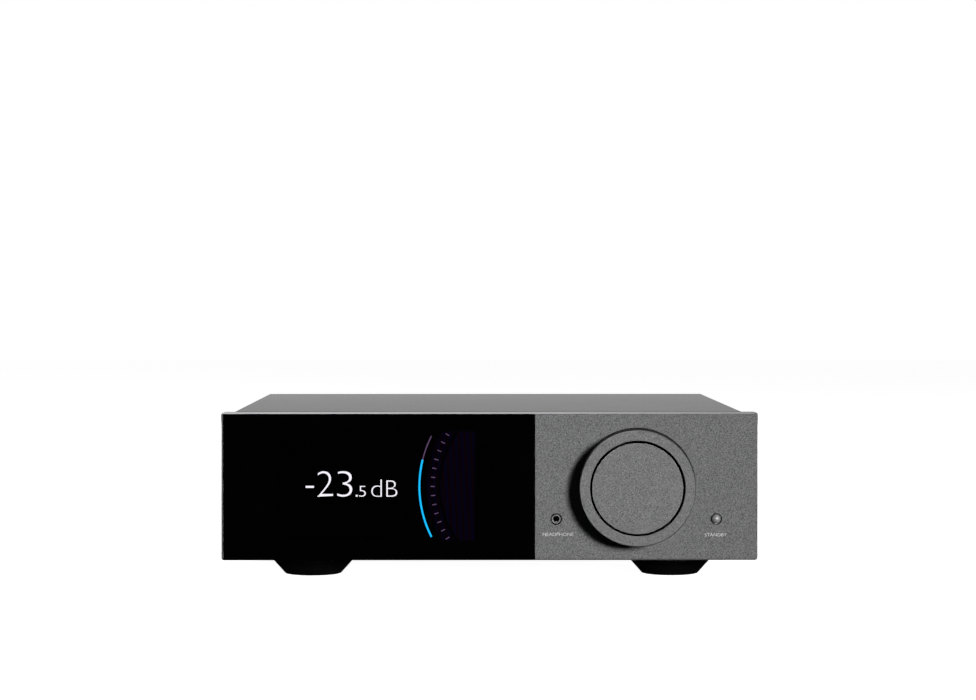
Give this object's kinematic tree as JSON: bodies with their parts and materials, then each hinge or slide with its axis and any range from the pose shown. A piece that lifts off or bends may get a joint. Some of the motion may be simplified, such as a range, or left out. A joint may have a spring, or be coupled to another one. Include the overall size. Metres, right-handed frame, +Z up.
{
  "type": "amplifier with digital-to-analogue converter",
  "caption": "Wide, low audio amplifier with a digital converter: black glass display, large volume knob that presses to select, headphone socket, standby button and rear sockets.",
  "frame": {"origin": "on the surface the feet stand on, in the middle of the overall width and depth", "axes": "+X to the viewer's right along the front, +Y towards the back, +Z up"},
  "size_m": [0.4, 0.382, 0.1255],
  "materials": {
    "anodised_aluminium": "bead-blasted, anodised dark grey",
    "knob_aluminium": "bead-blasted, anodised dark grey",
    "black_glass": "black-backed, polished",
    "display": "polarised screen",
    "painted_steel": "fine-textured grey paint",
    "plated_steel": "zinc-plated",
    "machined_steel": "turned",
    "bearing_bronze": "sintered",
    "gold_plate": "gold-plated",
    "foot_rubber": "satin black",
    "black_plastic": "moulded, fine texture",
    "terminal_plastic": "clear smoke moulding",
    "circuit_board": "green solder mask",
    "heatsink_aluminium": "extruded, anodised",
    "winding": "lacquered copper wire on a core",
    "capacitor_sleeve": "shrunk sleeve",
    "cable_sheath": "soft sheath",
    "foam": "closed-cell foam"
  },
  "bodies": {
    "chassis": {"amplifier_board": "circuit_board", "amplifier_heatsink": "heatsink_aluminium", "bearing_housing": "machined_steel", "chassis_base": "plated_steel", "coax_jacks": "gold_plate", "control_board": "circuit_board", "display_board": "circuit_board", "display_bracket": "plated_steel", "display_glass": "black_glass", "display_pad": "foam", "display_ribbon_cable": "cable_sheath", "encoder_board": "circuit_board", "encoder_sensor": "black_plastic", "foot_front_left": "foot_rubber", "foot_front_right": "foot_rubber", "foot_rear_left": "foot_rubber", "foot_rear_right": "foot_rubber", "front_panel": "anodised_aluminium", "hdmi_socket": "plated_steel", "headphone_jack": "black_plastic", "lcd_module": "display", "line_jacks": "gold_plate", "main_board": "circuit_board", "mains_inlet": "black_plastic", "mains_lead": "cable_sheath", "network_socket": "plated_steel", "optical_socket": "black_plastic", "output_choke_left": "winding", "output_choke_right": "winding", "power_supply_board": "circuit_board", "power_switch_frame": "black_plastic", "rear_panel": "painted_steel", "shaft_bushing": "bearing_bronze", "socket_plate": "painted_steel", "speaker_terminal_left": "terminal_plastic", "speaker_terminal_right": "terminal_plastic", "standby_switch": "black_plastic", "supply_capacitor": "capacitor_sleeve", "supply_heatsink": "heatsink_aluminium", "supply_transformer": "winding", "top_cover": "painted_steel", "usb_socket": "plated_steel"},
    "knob": {"volume_ring": "knob_aluminium", "knob_shaft": "machined_steel", "knob_circlip": "machined_steel", "encoder_wheel": "black_plastic", "select_spring": "machined_steel"},
    "select_button": {"select_disc": "knob_aluminium", "select_plunger": "machined_steel"},
    "standby_button": {"standby_button": "knob_aluminium"},
    "power_rocker": {"power_rocker": "black_plastic"},
    "optical_shutter": {"optical_shutter": "black_plastic"},
    "terminal_washer_left_upper": {"terminal_washer_left_upper": "gold_plate"},
    "terminal_cap_left_upper": {"terminal_cap_left_upper": "terminal_plastic"},
    "terminal_washer_left_lower": {"terminal_washer_left_lower": "gold_plate"},
    "terminal_cap_left_lower": {"terminal_cap_left_lower": "terminal_plastic"},
    "terminal_washer_right_upper": {"terminal_washer_right_upper": "gold_plate"},
    "terminal_cap_right_upper": {"terminal_cap_right_upper": "terminal_plastic"},
    "terminal_washer_right_lower": {"terminal_washer_right_lower": "gold_plate"},
    "terminal_cap_right_lower": {"terminal_cap_right_lower": "terminal_plastic"}
  },
  "joints": [
    {"name": "volume_turn", "type": "hinge", "parent": "chassis", "child": "knob", "pos_m": [0.109, -0.171, 0.0701], "axis": [0, 1, 0], "continuous": true},
    {"name": "select_press", "type": "slide", "parent": "knob", "child": "select_button", "axis": [0, 1, 0], "range_m": [0, 0.0015], "stiffness_N_per_m": 1200, "deforming": ["select_spring"]},
    {"name": "standby_press", "type": "slide", "parent": "chassis", "child": "standby_button", "axis": [0, 1, 0], "range_m": [0, 0.001], "stiffness_N_per_m": 300},
    {"name": "power_toggle", "type": "hinge", "parent": "chassis", "child": "power_rocker", "pos_m": [-0.15, 0.17, 0.086], "axis": [-1, 0, 0], "range_deg": [0, 22]},
    {"name": "shutter_swing", "type": "hinge", "parent": "chassis", "child": "optical_shutter", "pos_m": [-0.024, 0.174, 0.0362], "axis": [-1, 0, 0], "range_deg": [0, 80], "stiffness_Nm_per_rad": 0.002},
    {"name": "washer_slide_left_upper", "type": "slide", "parent": "chassis", "child": "terminal_washer_left_upper", "axis": [0, 1, 0], "range_m": [0, 0.005]},
    {"name": "cap_turn_left_upper", "type": "hinge", "parent": "terminal_washer_left_upper", "child": "terminal_cap_left_upper", "pos_m": [0.118, 0.186, 0.085], "axis": [0, 1, 0], "range_deg": [0, 1800]},
    {"name": "washer_slide_left_lower", "type": "slide", "parent": "chassis", "child": "terminal_washer_left_lower", "axis": [0, 1, 0], "range_m": [0, 0.005]},
    {"name": "cap_turn_left_lower", "type": "hinge", "parent": "terminal_washer_left_lower", "child": "terminal_cap_left_lower", "pos_m": [0.118, 0.186, 0.055], "axis": [0, 1, 0], "range_deg": [0, 1800]},
    {"name": "washer_slide_right_upper", "type": "slide", "parent": "chassis", "child": "terminal_washer_right_upper", "axis": [0, 1, 0], "range_m": [0, 0.005]},
    {"name": "cap_turn_right_upper", "type": "hinge", "parent": "terminal_washer_right_upper", "child": "terminal_cap_right_upper", "pos_m": [0.158, 0.186, 0.085], "axis": [0, 1, 0], "range_deg": [0, 1800]},
    {"name": "washer_slide_right_lower", "type": "slide", "parent": "chassis", "child": "terminal_washer_right_lower", "axis": [0, 1, 0], "range_m": [0, 0.005]},
    {"name": "cap_turn_right_lower", "type": "hinge", "parent": "terminal_washer_right_lower", "child": "terminal_cap_right_lower", "pos_m": [0.158, 0.186, 0.055], "axis": [0, 1, 0], "range_deg": [0, 1800]}
  ],
  "couplings": [
    {"joint": "cap_turn_left_upper", "follows": "washer_slide_left_upper", "rad_per_m": 6283.2},
    {"joint": "cap_turn_left_lower", "follows": "washer_slide_left_lower", "rad_per_m": 6283.2},
    {"joint": "cap_turn_right_upper", "follows": "washer_slide_right_upper", "rad_per_m": 6283.2},
    {"joint": "cap_turn_right_lower", "follows": "washer_slide_right_lower", "rad_per_m": 6283.2}
  ]
}
